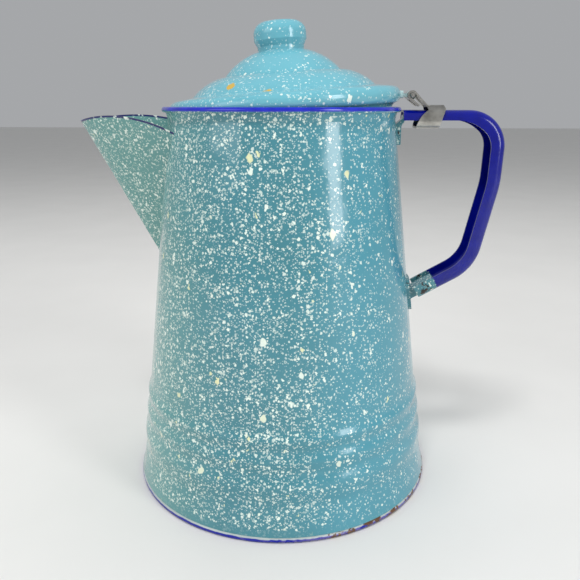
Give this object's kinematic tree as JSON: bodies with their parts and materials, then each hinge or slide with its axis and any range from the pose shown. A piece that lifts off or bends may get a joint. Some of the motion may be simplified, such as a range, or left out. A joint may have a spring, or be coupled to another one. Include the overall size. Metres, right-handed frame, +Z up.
{
  "type": "coffee percolator",
  "caption": "Tapered enamelled camp coffee percolator with open beak spout, hinged domed lid, channel handle, and a lift-out pump and basket inside.",
  "frame": {"origin": "centre of the base, on the ground", "axes": "+X towards the handle, -X towards the spout, +Z up"},
  "size_m": [0.2357, 0.178, 0.2604],
  "materials": {
    "pot_enamel": "glossy teal enamel with cream specks",
    "lid_enamel": "glossy light teal enamel with cream specks",
    "hem_enamel": "worn cobalt blue enamel",
    "handle_enamel": "glossy cobalt blue enamel",
    "bracket_enamel": "glossy teal enamel with cream specks",
    "ear_enamel": "glossy pale enamel",
    "clip_steel": "satin tinned steel",
    "pump_aluminium": "satin spun aluminium"
  },
  "bodies": {
    "pot": {"body_shell": "pot_enamel", "base_pan": "hem_enamel", "spout_shell": "pot_enamel", "handle_grip": "handle_enamel", "handle_upper_bracket": "bracket_enamel", "handle_lower_bracket": "bracket_enamel", "hinge_clip": "clip_steel"},
    "lid": {"lid_shell": "lid_enamel", "lid_hinge_ear": "ear_enamel", "hinge_pin": "clip_steel", "lid_knob": "lid_enamel", "knob_rivet": "clip_steel", "knob_washer": "clip_steel"},
    "works": {"pump_foot": "pump_aluminium", "pump_tube": "pump_aluminium", "basket_stop": "pump_aluminium"},
    "valve": {"pump_valve": "pump_aluminium"},
    "basket": {"basket_cup": "pump_aluminium", "basket_sleeve": "pump_aluminium"},
    "spreader": {"basket_spreader": "pump_aluminium"}
  },
  "joints": [
    {"name": "lid_hinge", "type": "hinge", "parent": "pot", "child": "lid", "pos_m": [0.0703, 0, 0.222], "axis": [0, 1, 0], "range_deg": [0, 110]},
    {"name": "works_lift", "type": "slide", "parent": "pot", "child": "works", "axis": [0, 0, 1], "range_m": [0, 0.008]},
    {"name": "valve_float", "type": "slide", "parent": "works", "child": "valve", "axis": [0, 0, 1], "range_m": [0, 0.0022]},
    {"name": "basket_lift", "type": "slide", "parent": "works", "child": "basket", "axis": [0, 0, 1], "range_m": [0, 0.008]},
    {"name": "spreader_lift", "type": "slide", "parent": "basket", "child": "spreader", "axis": [0, 0, 1], "range_m": [0, 0.008]}
  ]
}
